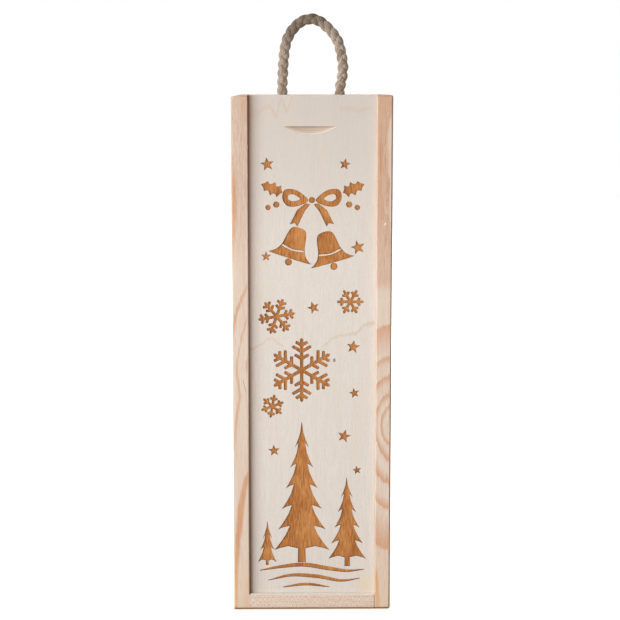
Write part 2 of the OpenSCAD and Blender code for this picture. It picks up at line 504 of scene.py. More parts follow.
def right_figure(place):
    """Rings that close into tall ovals low on the board's front, under plain tan heartwood."""
    up, across, share = front_edge(place, 1)
    above = up - OVALS_Z
    above = above.larger((above * -1.05).smaller(above * -0.75 + 3.9))
    aside = (1 - across) * (2 * EDGE_W)
    radius = place.tree.add("CombineXYZ", above, aside).length()
    rings = [(0, 0.08)]
    for edge, width, dark in OVALS:
        rings += [(edge - width, 0), (edge - 0.4 * width, dark * 0.6), (edge, dark), (edge + 0.9, 0)]
    ovals = radius.ramp(*rings, length=OVALS_REACH)
    blush = up.ramp((0, 0), (HEART_Z - 2, 0), (HEART_Z + 3, 0.28), (HEART_Z + 32, 0.10),
                    (HEART_Z + 100, 0.04), (BOARD_H, 0.22), length=BOARD_H)
    streak, foot, pale = (flame(up, across, points, core=core) for points, core in RIGHT_FLAMES)
    plain = (1 - pale) * off_arris(across)
    drawn = tear(place, (ovals + streak) + (foot + blush)) * plain
    ripe = plain * up.fade(HEART_Z, HEART_Z + 60, 0.4)
    heart = up.fade(HEART_Z - 5, HEART_Z + 5) * share * ripe
    sides = late_wood(place, (1 / 9, 1 / 7.5, 0.0035), (0.02, 0.025, 0.006), 6)
    # the right board's outer edge faces away from the light and takes strong painted shade
    return sides + (drawn - sides) * share, heart, edge_shade_and_wear(place, across, share, 0.9)


def left_figure(place):
    """Flames that leave the lid's side of the board's front and run out at its outer side."""
    up, across, share = front_edge(place, -1)
    drawn = flame(up, across, LEFT_FLAMES[0])
    for points in LEFT_FLAMES[1:]:
        drawn = drawn.larger(flame(up, across, points))
    drawn = tear(place, drawn) * off_arris(across)
    sides = late_wood(place, (-1 / 9, 1 / 8.5, -0.003), (0.02, 0.022, 0.007), 6)
    # painted shade on the eased edge beside the lid, strongest low on the board
    inner_edge_shade = across.ramp((0.05, 1), (0.09, 0)) * up.fade(60, 240, 0.9, 0)
    marks_and_shade = edge_shade_and_wear(place, across, share, 0.2).larger(inner_edge_shade * beside_lid(place))
    return sides + (drawn - sides) * share, up.fade(245, 285, 0, 0.6), marks_and_shade


def end_figure(place):
    """Fine straight rings along an end board, roughened across by the saw."""
    late = late_wood(place, (1 / 1.7, 1 / 7, 0.004), (0.10, 0.05, 0.05), 1)
    saw = place.noise((0.5, 0.3, 1.9), detail=3, roughness=0.6)
    late = late * 0.5 + saw.ramp((0.34, 0.9), (0.58, 0))
    return late.smaller(1), 0, 0


def fibres_over(place, wood, dark, heart):
    """Fine fibres, drawn brown lines and pale streaks over the growth rings, and their relief."""
    mix = place.tree.mix
    fine = place.noise((3.2, 3.2, 0.06), detail=4, roughness=0.7)
    curl = place.noise((0.35, 0.35, 0.06), output="Color")
    wavy = place + curl * (2.4, 2.4, 0)
    lines = wavy.noise((2, 2, 0.03), detail=4, roughness=0.75)
    deeper = mix(0.55, wood, dark)
    wood = mix(fine.ramp((0.36, 0.40), (0.62, 0)), wood, deeper)
    drawn = lines.ramp((0.36, 0.7), (0.52, 0))
    wood = mix(drawn, wood, deeper)
    wood = mix(drawn * heart, wood, tone(178, 132, 104))
    return mix(lines.ramp((0.54, 0), (0.68, 0.25)), wood, tone(240, 225, 210)), fine


def pine(name, pale, mid, dark, heartwood, figure, fibre_turn=(0, 0, 0), grain_up=True):
    """Planed pine, yellower at the foot of the box, with painted shade along its bottom edge.

    figure(place) gives how dark the grain is, how much is heartwood and how much painted
    shade, with a little handling brown, lies on the front's eased edges.
    """
    finish = Finish(name, 0.62)
    mix = finish.mix
    place = finish.place(fibre_turn)
    late, heart, arris_shade = figure(place)
    cloud = place.noise((0.06, 0.06, 0.014))
    body = mix(cloud.ramp((0.35, 0), (0.68, 1)), pale, mid)
    body = mix(heart, body, heartwood)
    height = finish.place().axes()[2]
    if grain_up:
        foot = height.fade(48, 14)
        body = mix(foot * 0.2, body, tone(224, 190, 150))
        dark = mix(foot, dark, tone(218, 158, 98))
    # the colour of the painted shade on the eased edges, darker low on the box
    brown = mix(height.fade(300, 90), tone(164, 132, 110), tone(104, 80, 62))
    wood = mix(late, mix(arris_shade, body, brown), dark)
    wood, fine = fibres_over(place, wood, dark, heart)
    cut_across = end_grain_share(finish)
    if grain_up:
        pores = place.noise((2.5, 2.5, 2.5), detail=3).ramp((0.3, 0.75), (0.7, 0.45))
        wood = mix(cut_across, wood, mix(pores, wood, tone(190, 142, 104)))
    else:
        # painted highlight: the bottom board's top ledge in front of the lid is made almost white
        ledge_highlight = cut_across * height.fade(10, 10.5) * (height < 20)
        wood = mix(ledge_highlight * 0.95, wood, tone(255, 250, 240))
    # painted shade along the bottom edge, where the box stands on the floor
    foot_shadow = (height * 0.25).ramp((0.17, 1), (0.30, 0.8), (0.38, 0.15), (0.62, 0))
    wood = mix(foot_shadow, wood, tone(124, 80, 34))
    return finish.painted(wood, late * 0.6 + fine, 0.08 * MM, 0.7)


# ---- Woods ----

PINE_PALE = tone(226, 214, 200)
PINE_MID = tone(221, 203, 186)
PINE_DARK = tone(204, 146, 104)
PINE_HEART = tone(206, 175, 151)
PINE_AGED = tone(200, 176, 158)
BIRCH_FACE = tone(228, 220, 212)
BIRCH_CORE = tone(208, 192, 175)
PLYWOOD_T = (LID_HIGH.y - LID_LOW.y) / MM
# the heights between which the lid's and panel's veneer turns greyer, painted shade towards the top of
# the box
GREYER_Z = (240, 345)

LID_LINES = (
    ((-42, 182, 1.6, 0.7), (-37, 184.5, 1.5, 0.6), (-28.5, 190, 1.2, 0.6),
     (-20.5, 185.5, 1.2, 0.6), (-17.5, 177, 1.2, 0.7), (-14.5, 170, 1.2, 0.7),
     (-8, 169, 1, 0.6), (-1.5, 170.5, 1, 0.3), (3, 177, 1, 0.3), (8, 185, 1.2, 0.6),
     (14, 190, 1.3, 0.6), (21, 192, 1.5, 0.6), (30, 193.5, 1.6, 0.7), (35.5, 199, 1.8, 0.7),
     (42, 200.5, 2.6, 0.8)),
    ((-42, 342, 5, 0.35), (-36, 341, 5, 0.3), (-33.5, 344.5, 2.8, 0.45),
     (-28.5, 346.5, 2.2, 0.6), (-24, 340.5, 2.6, 0.9), (-20.5, 351, 2.2, 0.7),
     (-17, 344, 2.6, 0.8), (-13, 352, 2, 0.6), (-11, 356, 1.6, 0), (15.5, 358, 1.2, 0),
     (17.3, 351.5, 1.4, 0.4),
     (18.6, 344.5, 1.8, 0.5), (24, 345, 2.2, 0.55), (29, 343.6, 2, 0.55),
     (34, 344, 1.8, 0.6), (39, 346, 1.6, 0.5), (42, 341.5, 1.6, 0.5)),
)
PANEL_LINES = (
    ((-42, 262, 1.5, 0.6), (-30, 270, 1.4, 0.6), (-12, 252, 1.2, 0.6), (4, 240, 1.2, 0.7),
     (20, 249, 1.4, 0.6), (42, 266, 1.6, 0.7)),
    ((-42, 96, 1.6, 0.7), (-26, 84, 1.3, 0.6), (-6, 70, 1.1, 0.7), (12, 88, 1.2, 0.6),
     (30, 99, 1.5, 0.6), (42, 90, 1.6, 0.7)),
)


def sanded_veneer(place, figure_lines, pin_knot):
    """A birch face with fine grain, specks, growth rings' edges and a knot, and its relief."""
    mix = place.tree.mix
    x, _, z = place.axes()
    fine = place.noise((5, 1, 0.09), detail=4, roughness=0.6)
    specks = place.noise((2.6, 1, 0.9), detail=3, roughness=0.7)
    broad = place.noise((0.16, 0.1, 0.012), detail=3)
    # painted shade: the veneer greys towards the top
    veneer = mix(z.fade(*GREYER_Z), BIRCH_FACE, tone(208, 200, 193))
    veneer = mix(fine.ramp((0.32, 0.5), (0.62, 0)), veneer, tone(201, 189, 175))
    veneer = mix(specks.ramp((0.32, 0.4), (0.52, 0)), veneer, tone(200, 187, 174))
    veneer = mix(broad.ramp((0.45, 0), (0.8, 0.4)), veneer, tone(221, 204, 184))
    # the grain jumps a little from fibre to fibre along each line
    up = z + (place.noise((1.6, 0.2, 0.12)) * 5 - 2.5)
    for points in figure_lines:
        top = max(point[1] for point in points)
        drawn = [(at + 50, middle / top, half / top, dark) for at, middle, half, dark in points]
        line = flame(x + 50, up / top, drawn, length=100)
        veneer = mix(line * 0.65, veneer, tone(207, 180, 154))
    from_knot = ((place - (pin_knot[0], 0, pin_knot[1])) * (1, 0, 0.7)).length()
    veneer = mix((from_knot * 0.5).ramp((0.25, 0.85), (0.62, 0)), veneer, tone(128, 92, 66))
    return veneer, fine + specks


def stain_and_groove_shadow(place, veneer, on_face):
    """A yellow stain low on the lid, and a brown band of painted shadow beside its left groove, where the
    side board shades the lid; the band is stronger higher up.
    """
    mix = place.tree.mix
    x, _, z = place.axes()
    from_stain = ((place - (37, 0, 17)) * (0.14, 0, 0.1)).length()
    veneer = mix(from_stain.ramp((0.2, 0.4), (1, 0)), veneer, tone(236, 208, 164))
    # painted shadow of the left side board on the lid
    band = (x * (-1 / 16) - 2).ramp(
        (0, 0), (0.17, 0.05), (0.38, 0.18), (0.52, 0.34), (0.62, 0.62), (0.69, 0.95),
        (0.73, 0.95), (0.8, 0.35), (1, 0.25))
    band = band * (z.fade(*GREYER_Z) * 0.45 + 0.8) * on_face
    return mix(band, veneer, tone(158, 112, 82))


def birch(name, face_y, inwards, figure_lines, pin_knot, marks_and_shade=False):
    """Sanded birch plywood whose face veneer lies at face_y; its layers show where it is cut.

    inwards is 1 where the sheet's inside lies towards the back, else -1. Each figure line is
    the edge of a growth ring on the veneer, given as points that hold (x, height, half width,
    darkness), and pin_knot is a point (x, height). With marks_and_shade the sheet has a stain,
    a painted shadow beside its left groove and painted shade under its notch's straight edge.
    """
    finish = Finish(name, 0.6)
    mix = finish.mix
    place = finish.place()
    _, y, z = place.axes()
    depth = (y - face_y / MM) * inwards
    far_face = depth > 3.8
    veneer, relief = sanded_veneer(place, figure_lines, pin_knot)
    if marks_and_shade:
        veneer = stain_and_groove_shadow(place, veneer, 1 - far_face)
    short = place.noise((1.6, 1.6, 1.6), detail=3)
    core = mix(short.ramp((0.3, 0.7), (0.7, 0)), BIRCH_CORE, tone(190, 168, 147))
    # painted highlight: a paler rim just under the face where the cut edges catch the light; deeper, the
    # cut wood is darker
    cut_with_rim_highlight = mix(depth.fade(0.04, 0.12), veneer, tone(236, 227, 216))
    cut_with_rim_highlight = mix(depth.fade(0.28, 0.40), cut_with_rim_highlight, tone(213, 194, 174))
    veneer = mix(far_face, cut_with_rim_highlight, veneer)
    layer = depth.ramp((0, 0), (1.12, 0), (1.2, 1), (2.76, 1), (2.84, 0),
                       length=PLYWOOD_T, interpolation="CONSTANT")
    glue = depth.ramp((0, 0), (1.08, 0), (1.18, 0.7), (1.28, 0), (2.68, 0),
                      (2.8, 0.7), (2.92, 0), length=PLYWOOD_T)
    wood = mix(glue, mix(layer, veneer, core), tone(158, 130, 106))
    wood = mix(end_grain_share(finish) * 0.6, wood, tone(192, 156, 122))
    if marks_and_shade:
        # painted shade under the notch's straight edge
        under = (z * 0.25 + (2 - NOTCH_TOP / MM) / 4).ramp((0.20, 0), (0.45, 0.4), (0.50, 0.4), (0.53, 0))
        inside = (depth > 0.35) - far_face
        wood = mix(under * inside, wood, tone(150, 112, 82))
    return finish.painted(wood, relief, 0.03 * MM, 0.5)


def engraved(name, pale, dark):
    """Birch browned by the laser, with its grain still showing."""
    finish = Finish(name, 0.7, specular=0.15)
    place = finish.place()
    streak = place.noise((1.3, 0.5, 0.14), detail=4, roughness=0.65)
    mixed = place.noise((0.10, 0.1, 0.05)) * 0.35 + streak * 0.75
    tint = finish.mix(mixed.ramp((0.43, 0), (0.66, 1)), pale, dark)
    return finish.painted(tint, streak, 0.05 * MM, 0.7)


def two_tone(finish, stretch, dark, pale, depth, strength):
    """Fine grain or scratches between two tones."""
    marks = finish.place().noise(stretch, detail=3)
    return finish.painted(finish.mix(marks, dark, pale), marks, depth, strength)


# ---- Each piece's own material ----

RIGHT_PINE = pine("right_board_pine", PINE_PALE, PINE_MID, PINE_DARK, PINE_HEART, right_figure)
LEFT_PINE = pine("left_board_pine", PINE_PALE, PINE_MID, PINE_DARK, PINE_AGED, left_figure)
END_PINE = pine("end_board_pine", tone(244, 232, 219), tone(239, 224, 210), tone(202, 168, 142),
                PINE_HEART, end_figure, fibre_turn=(0, math.pi / 2, 0), grain_up=False)
LID_BIRCH = birch("lid_birch", LID_FRONT, 1, LID_LINES, (15.2, 174.8), marks_and_shade=True)
PANEL_BIRCH = birch("panel_birch", BACK_Y, -1, PANEL_LINES, (-18, 206))
ENGRAVED = engraved("engraved_birch", tone(206, 144, 84), tone(158, 95, 46))
SCORCHED = engraved("scorched_rim", tone(150, 92, 48), tone(112, 64, 32))
LID_WOODS = (LID_BIRCH, ENGRAVED, SCORCHED)
# pale wood inside a fresh nick
FRESH_PINE = two_tone(Finish("fresh_pine", 0.7), (2.5, 2.5, 0.3), tone(230, 209, 186),
                      tone(246, 231, 212), 0.1 * MM, 0.6)
STEEL = two_tone(Finish("dull_wire_steel", 0.38, specular=0.5, metallic=1), (3, 3, 3),
                 tone(112, 110, 106), tone(146, 143, 138), 0.03 * MM, 0.5)

# ---- Rope handle ----

# from the middle between the two bends, in millimetres
ROUTE = [
    (-20, 0, 0), (-20, 0, 4.5), (-19.5, 0, 12.5), (-19.2, 0.2, 18.5), (-18.6, 0.5, 25),
    (-17.8, 0.8, 30), (-16.5, 1, 34.5), (-14.5, 1.2, 38.5), (-12, 1.4, 42), (-9, 1.5, 45),
    (-5.5, 1.5, 47.2), (-1.5, 1.5, 48.3), (2.8, 1.5, 48.2), (6.9, 1.4, 46.3),
    (10.5, 1.2, 43.4), (13.9, 1, 40), (16.8, 0.8, 36.2), (19, 0.6, 32), (20.4, 0.4, 27.2),
    (21.5, 0.2, 21.8), (22.1, 0, 16.5), (21.8, 0, 10.5), (20.8, 0, 4.5), (20, 0, 0),
]
IN_HOLE = 7.5 * MM
STEP = 0.6 * MM

# each strand is flattened by its neighbours, and swings from side to side of the plait
STRAND_W, STRAND_T = 2.4 * MM, 1.75 * MM
SWING_W, SWING_T = 1.35 * MM, 1.2 * MM
PLAIT_PERIOD = 18.6 * MM
RING_SIDES = 24
# the fibre map counts centimetres along a strand, and starts each strand this much further on
STRAND_OFFSET = 40
PLY_PITCH = 24 * MM

# a knot: the cord comes down through its neck, goes round once and more, and hangs out below
NECK_Z = 343 * MM
COIL_R, COIL_TURNS, COIL_POINTS = 5.6, 1.3, 11
TO_COIL = ((0, 0, 6), (-1, 0, 0), (-1.8, 0, -6), (-2.6, 0, -11))
FROM_COIL = ((3.2, 2, -2.6), (2.2, 0.4, -8), (1.6, 0, -14), (0.8, 0, -21))
KNOT_STEP = 0.8 * MM
# the rope is pulled tighter in its knots than in its loop
KNOT_TIGHTNESS = 0.82

# loose hairs on each strand, and in the tuft at its end
LOOP_HAIRS, KNOT_HAIRS, TUFT_HAIRS = 30, 15, 34


def curve_between(a, b, c, d, count):
    """Points from b up to c on a smooth curve that comes from a and goes on to d."""
    return [(2 * b + (c - a) * t + (2 * a - 5 * b + 4 * c - d) * t ** 2
             + (3 * b - a - 3 * c + d) * t ** 3) / 2 for t in (i / count for i in range(count))]


def smooth_line(points, step):
    """Points about a step apart on a smooth curve through the given ones."""
    points = [Vector(point) for point in points]
    points = [points[0] * 2 - points[1], *points, points[-1] * 2 - points[-2]]
    line = []
    for a, b, c, d in zip(points, points[1:], points[2:], points[3:]):
        line += curve_between(a, b, c, d, max(1, round((c - b).length / step)))
    return line + [points[-2]]


def distances(line, unit=1, start=0):
    """How far along the line each of its points is."""
    run = [start]
    for a, b in zip(line, line[1:]):
        run.append(run[-1] + (b - a).length / unit)
    return run


def tangents(line):
    ends = zip([line[0], *line], [*line[1:], line[-1]])
    return [(after - before).normalized() for before, after in ends]


def square_to(along, way):
    """The direction nearest to way that is square to the line."""
    return (way - along * way.dot(along)).normalized()


def frames_along(line, facing):
    """The way along the line, with a facing direction that turns as little as it can."""
    made = []
    for along in tangents(line):
        facing = square_to(along, facing)
        made.append((along, facing))
    return made


def sideways(along, facing, angle):
    """The direction across the line, turned by the angle from its facing one."""
    return facing * math.cos(angle) + along.cross(facing) * math.sin(angle)


class Fibre:
    """Gathers tubes of yarn and single hairs into one mesh, with a map around and along them."""

    def __init__(self, seed):
        self.points, self.faces, self.spots = [], [], []
        self.random = random.Random(seed)

    def tube(self, line, frames, radius, sides, start=0):
        """A closed tube; radius(i, angle) gives its size at a ring."""
        first = len(self.points)
        run, turn = distances(line, 10 * MM, start), 2 * math.pi / sides
        for i, (spot, (along, facing)) in enumerate(zip(line, frames)):
            self.points += [spot + sideways(along, facing, k * turn) * radius(i, k * turn)
                            for k in range(sides)]
        for i in range(len(line) - 1):
            for k in range(sides):
                low, high = first + i * sides, first + (i + 1) * sides
                after = (k + 1) % sides
                self.faces.append((low + k, low + after, high + after, high + k))
                here, there = k / sides, (k + 1) / sides
                self.spots.append(((here, run[i]), (there, run[i]), (there, run[i + 1]),
                                   (here, run[i + 1])))
        for i, ring in ((0, range(sides - 1, -1, -1)), (len(line) - 1, range(sides))):
            self.faces.append(tuple(first + i * sides + k for k in ring))
            self.spots.append(tuple((k / sides, run[i]) for k in ring))

    def hair(self, root, way, length, width=0.07 * MM, segments=4):
        """One loose fibre that starts inside the yarn and curls as it leaves it."""
        curl = Vector([self.random.gauss(0, 1) for _ in range(3)])
        line, way = [root], way.normalized()
        for _ in range(segments):
            line.append(line[-1] + way * (length / segments))
            way = (way + curl * 0.16).normalized()
        frames = frames_along(line, way.orthogonal())
        self.tube(line, frames, lambda i, angle: width * (1 - 0.75 * i / segments), 3,
                  start=self.random.uniform(0, 20))

    def piece(self, name):
        mesh = bpy.data.meshes.new(name)
        mesh.from_pydata(self.points, [], self.faces)
        fibres = mesh.uv_layers.new(name="fibre")
        corners = (spot for face in self.spots for spot in face)
        for corner, spot in zip(fibres.data, corners):
            corner.uv = spot
        made = bpy.data.objects.new(name, mesh)
        bpy.context.scene.collection.objects.link(made)
        shade(made, 60)
        return made


def plait(fibre, line, turned, tight, phase, hairs):
    """Three strands plaited along a line.

    turned(share) is the turn of the plait's flat side, tight(share) its size, phase where in
    the pattern it starts, and hairs how many each strand has. It returns each strand's last
    point and direction.
    """
    frames = frames_along(line, Vector((0, -1, 0)))
    run = distances(line)
    ends = []
    for strand in range(3):
        spots, ways = [], []
        uneven = [fibre.random.uniform(-1, 1) for _ in range(len(line) // 6 + 3)]
        for spot, (along, facing), at in zip(line, frames, run):
            share = at / run[-1]
            size = tight(share)
            thick = sideways(along, facing, turned(share))
            wide = along.cross(thick)
            beat = 2 * math.pi * ((at + phase) / PLAIT_PERIOD + strand / 3)
            spots.append(spot + wide * SWING_W * size * math.sin(beat)
                         + thick * SWING_T * size * math.sin(2 * beat))
            ways.append(thick)
        strand_frames = [(along, square_to(along, thick)) for along, thick in zip(tangents(spots), ways)]

        def radius(i, around):
            step, part = divmod(i / 6, 1)
            swell = uneven[int(step)] * (1 - part) + uneven[int(step) + 1] * part
            plies = math.cos(3 * (around - 2 * math.pi * run[i] / PLY_PITCH))
            oval = math.hypot(math.cos(around) / STRAND_T, math.sin(around) / STRAND_W)
            return tight(run[i] / run[-1]) * (1 + 0.04 * swell + 0.025 * plies) / oval

        fibre.tube(spots, strand_frames, radius, RING_SIDES, start=strand * STRAND_OFFSET)
        ends.append((spots[-1], strand_frames[-1][0]))
        draw = fibre.random
        for _ in range(hairs):
            i = draw.randrange(4, len(spots) - 4)
            angle = draw.uniform(0, 2 * math.pi)
            along = strand_frames[i][0]
            out = sideways(*strand_frames[i], angle)
            way = out * draw.uniform(0.35, 1) + along * draw.choice((-1, 1))
            fibre.hair(spots[i] + out * radius(i, angle) * 0.9, way, draw.uniform(1.2, 3) * MM)
    return ends


def jute():
    """Dry plant fibre: long pale and brown fibres that run round the yarn as it is twisted."""
    finish = Finish("jute_fibre", 0.85, specular=0.12)
    around, along, _ = finish.add("UVMap", uv_map="fibre").axes()
    angle = (along * -0.3 + around) * (2 * math.pi)
    yarn = finish.add("CombineXYZ", angle.cosine(), angle.sine(), along)
    fine = yarn.noise((3.2, 3.2, 0.3), detail=1)
    tint = finish.mix(fine.ramp((0.32, 0), (0.66, 1)), tone(143, 128, 113), tone(196, 183, 170))
    broad = yarn.noise((1.1, 1.1, 1.1)).ramp((0.35, 0.40), (0.6, 0))
    tint = finish.mix(broad, tint, tone(150, 126, 101))
    # painted shade: the strands are darker at the top of the loop, from 4 to 10 cm along each
    loop_top_shade = (along % STRAND_OFFSET).ramp((4, 0), (6, 0.8), (8, 0.8), (10, 0), length=20,
                                        interpolation="EASE")
    return finish.painted(finish.mix(loop_top_shade, tint, tone(112, 96, 81)), fine, 0.04 * MM, 0.6)


JUTE = jute()


def handle_loop():
    """The loop above the board, whose ends go down into their holes."""
    route = [Vector(point) * MM + Vector((0, HOLE_Y, BEND_Z)) for point in ROUTE]
    down = Vector((0, 0, IN_HOLE))
    line = smooth_line([route[0] - down, *route, route[-1] - down], STEP)
    fibre = Fibre(11)
    plait(fibre, line, lambda share: math.radians(42 - 84 * share), lambda share: 1, 3 * MM, LOOP_HAIRS)
    loop = fibre.piece("plaited_handle")
    dress(loop, JUTE)
    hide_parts("rope_handle")
    return loop, line, distances(line)[-1]


def knot_and_leg(side, name, node):
    """One end of the rope: down through its hole, once round itself, and a frayed tail."""
    neck = Vector((side * HOLE_X, HOLE_Y, NECK_Z))
    route = [(0, 0, (KNOT_TOP - NECK_Z) / MM), *TO_COIL]
    for i in range(COIL_POINTS):
        share = i / (COIL_POINTS - 1)
        angle = math.pi + 2 * math.pi * COIL_TURNS * share
        route.append((COIL_R * math.cos(angle), COIL_R * math.sin(angle), 8 * share - 11.5))
    route += FROM_COIL
    line = smooth_line([neck + Vector((side * x, y, z)) * MM for x, y, z in route], KNOT_STEP)
    fibre = Fibre(23 + side)
    ends = plait(fibre, line, lambda share: 0.6 + 2 * share,
                 lambda share: 1 if share < 0.12 else KNOT_TIGHTNESS, 0, KNOT_HAIRS)
    draw = fibre.random
    for spot, along in ends:
        for _ in range(TUFT_HAIRS):
            spread = Vector([draw.gauss(0, 0.28) for _ in range(3)])
            inside = Vector([draw.uniform(-0.8, 0.8) * MM for _ in range(3)])
            fibre.hair(spot + inside - along * 2 * MM, along + spread,
                       draw.uniform(5, 7.5) * MM, 0.12 * MM)
    return stand_for(fibre.piece(name), node, "root", "jute_rope", JUTE)


rope, rope_line, rope_length = handle_loop()
knots = [knot_and_leg(-1, "left_knot", "left_rope_knot"),
         knot_and_leg(1, "right_knot", "right_rope_knot")]
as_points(rope_line)
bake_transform(rope)

# ---- Nail holes ----

END_ROWS_Z = (END_BOARD_T / 2, BOX_TOP - END_BOARD_T / 2)
BRAD_D, BRAD_L, BRAD_INSET = 1.6 * MM, 25 * MM, 14 * MM
PIN_D, PIN_L, PIN_INSET, END_PIN_INSET = 1.2 * MM, 14 * MM, 32 * MM, 20 * MM
HEAD_WIDTH = 1.8
HEAD_DEPTH = 0.7 * MM
HOLE_PLAY = 0.12 * MM


def nail_hole(spot, inwards, nail_d, nail_l):
    """A tool that clears one nail and sinks a seat for its head."""
    spot, inwards = Vector(spot), Vector(inwards)
    seat = bar("seat", nail_d * HEAD_WIDTH / 2 + HOLE_PLAY, spot - inwards * OVER,
               spot + inwards * HEAD_DEPTH, 24)
    shank = bar("shank", nail_d / 2 + HOLE_PLAY, spot, spot + inwards * (nail_l + HOLE_PLAY), 16)
    return boolean(seat, shank, "UNION")


def joined(tools):
    """One tool from several that don't touch."""
    only(*tools)
    bpy.ops.object.join()
    return bpy.context.object


def brad_holes(side, rows=END_ROWS_Z):
    """Tools for the brads of one side board; side is 1 for the right and -1 for the left."""
    first, last = GROOVE_BACK + BRAD_INSET, PANEL_LOW.y - BRAD_INSET
    return joined([nail_hole((side * OUTER_X, y, z), (-side, 0, 0), BRAD_D, BRAD_L)
                   for y in (first, (first + last) / 2, last) for z in rows])


def pin_holes(spots):
    """Tools for the back panel's pins, each at a place (x, height)."""
    return joined([nail_hole((x, BACK_Y, z), (0, -1, 0), PIN_D, PIN_L) for x, z in spots])


def side_pin_holes(side):
    """Tools for the pins along one side board."""
    step = (BOX_TOP - 2 * PIN_INSET) / 3
    return pin_holes([(side * (INNER_X + REBATE_X) / 2, PIN_INSET + i * step) for i in range(4)])


def end_pin_holes(rows=END_ROWS_Z):
    """Tools for the pins into the end boards."""
    return pin_holes([(side * (INNER_X - END_PIN_INSET), z) for side in (-1, 1) for z in rows])


# ---- Boards ----

BASE_LEDGE_EASE, BASE_SOFT = 0.8 * MM, 0.1 * MM
SIDE_SOFT, PLYWOOD_SOFT = 0.06 * MM, 0.3 * MM
# the side boards' edges beside the lid
RIGHT_LID_EDGE, LEFT_LID_EDGE = 0.6 * MM, 0.35 * MM


def dent(piece, spot, size, turn, fresh):
    """Knocks a small uneven hollow into an edge or a face; fresh wood shows pale in it."""
    lump = shape("lump", bpy.ops.mesh.primitive_ico_sphere_add, turn, subdivisions=2, radius=1,
                 location=spot, scale=[length * MM for length in size])
    middle = Vector(spot)
    lumpy = random.Random(round(spot[2] / MM))
    for vertex in lump.data.vertices:
        vertex.co = middle + (vertex.co - middle) * lumpy.uniform(0.75, 1.15)
    dress(lump, *piece.data.materials)
    for face in lump.data.polygons:
        face.material_index = int(fresh)
    cut_away(piece, lump)


def wear_corner(board, side, run, drop):
    """Slopes the outer end of a side board's top down by the drop over the run."""
    plane = block("plane", (0, FRONT_Y - OVER, 0), (side * 2 * run, BACK_Y + OVER, 2 * run))
    plane.rotation_euler.y = side * math.atan2(drop, run)
    plane.location = (side * (OUTER_X - run), 0, BOX_TOP)
    cut_away(board, settle(plane, "plane"))


def side_board(side, name, node, material, lid_edge, dents, worn_corner=None):
    """One full-height side board with its lid groove and panel rebate."""
    inner, outer = side * INNER_X, side * OUTER_X
    board = block(name, (inner, FRONT_Y, 0), (outer, BACK_Y, BOX_TOP))
    within = inner - side * OVER
    cut_away(board,
             block("groove", (within, GROOVE_FRONT, -OVER),
                   (side * GROOVE_FLOOR_X, GROOVE_BACK, BOX_TOP + OVER)),
             block("rebate", (within, PANEL_LOW.y, -OVER),
                   (side * REBATE_X, BACK_Y + OVER, BOX_TOP + OVER)))

    def eased(a, b):
        return any(both_at(a, b, y=y, **edge) for y in (FRONT_Y, BACK_Y)
                   for edge in ({"x": outer}, {"z": 0}, {"z": BOX_TOP}))

    def lid_side(a, b):
        return both_at(a, b, x=inner, y=FRONT_Y) and min(a.z, b.z) > END_BOARD_T - MM

    round_edges(board, eased)
    in_edit_mode("FACE", ALL_OF_IT, (bpy.ops.mesh.bisect, {"plane_co": (0, 0, END_BOARD_T),
                                                           "plane_no": (0, 0, 1)}))
    round_edges(board, lid_side, lid_edge)
    soften(board, SIDE_SOFT)
    if worn_corner:
        wear_corner(board, side, *worn_corner)
    dress(board, material, FRESH_PINE)
    for place_of_dent in dents:
        dent(board, *place_of_dent)
    cut_away(board, brad_holes(side), side_pin_holes(side))
    shade(board)
    return stand_for(board, node, "root", "pine_boards")


def nailed_end_board(board, node, row):
    """Finishes an end board, whose nails are in this row of both side boards and the panel."""
    cut_away(board, brad_holes(-1, row), brad_holes(1, row), end_pin_holes(row))
    shade(board)
    return stand_for(board, node, "root", "pine_end_boards", END_PINE)


def base_board():
    """The end board under the box, grooved for the lid, flush with the side boards' fronts."""
    board = block("bottom_board", BASE_LOW, BASE_HIGH)
    cut_away(board, block("groove", (-INNER_X - OVER, GROOVE_FRONT, LID_LOW.z),
                          (INNER_X + OVER, GROOVE_BACK, END_BOARD_T + OVER)))
    round_edges(board, lambda a, b: both_at(a, b, y=FRONT_Y, z=0))
    round_edges(board, lambda a, b: both_at(a, b, y=FRONT_Y, z=END_BOARD_T), BASE_LEDGE_EASE)
    round_edges(board, lambda a, b: both_at(a, b, y=a.y, z=a.z) and a.y > FRONT_Y + OVER, BASE_SOFT)
    return nailed_end_board(board, "bottom_end_board", END_ROWS_Z[:1])


def crown_board():
    """The end board under the handle, with two holes whose mouths are eased."""
    board = block("top_board", CROWN_LOW, CROWN_HIGH)
    soften(board)
    hubs = [Vector((side * HOLE_X, HOLE_Y)) for side in (-1, 1)]
    for hub in hubs:
        cut_away(board, bar("rope_hole", ROPE_D / 2 + HOLE_GAP, (*hub, CROWN_LOW.z - OVER),
                            (*hub, CROWN_HIGH.z + OVER), 64))

    def mouth(a, b):
        hub = min(hubs, key=lambda centre: (a.xy - centre).length)
        return (both_at(a, b, z=CROWN_HIGH.z)
                and all((point.xy - hub).length < ROPE_D for point in (a, b)))

    round_edges(board, mouth, EASE, 2)
    return nailed_end_board(board, "top_end_board", END_ROWS_Z[1:])


def back_panel():
    board = block("back_plywood", PANEL_LOW, PANEL_HIGH)
    soften(board, PLYWOOD_SOFT)
    cut_away(board, end_pin_holes(), side_pin_holes(-1), side_pin_holes(1))
    shade(board)
    return stand_for(board, "back_panel", "root", "birch_plywood", PANEL_BIRCH)


# ---- Lid and its engraving ----

CUT_DEPTH = 1.2 * MM
CUT_SLOPE = 0.2 * MM


def shaped(x, z, size, turn, outline):
    """Scales, turns and moves an outline."""
    angle = math.radians(turn)
    cos, sin = math.cos(angle) * size, math.sin(angle) * size
    return [(x + a * cos - b * sin, z + a * sin + b * cos) for a, b in outline]


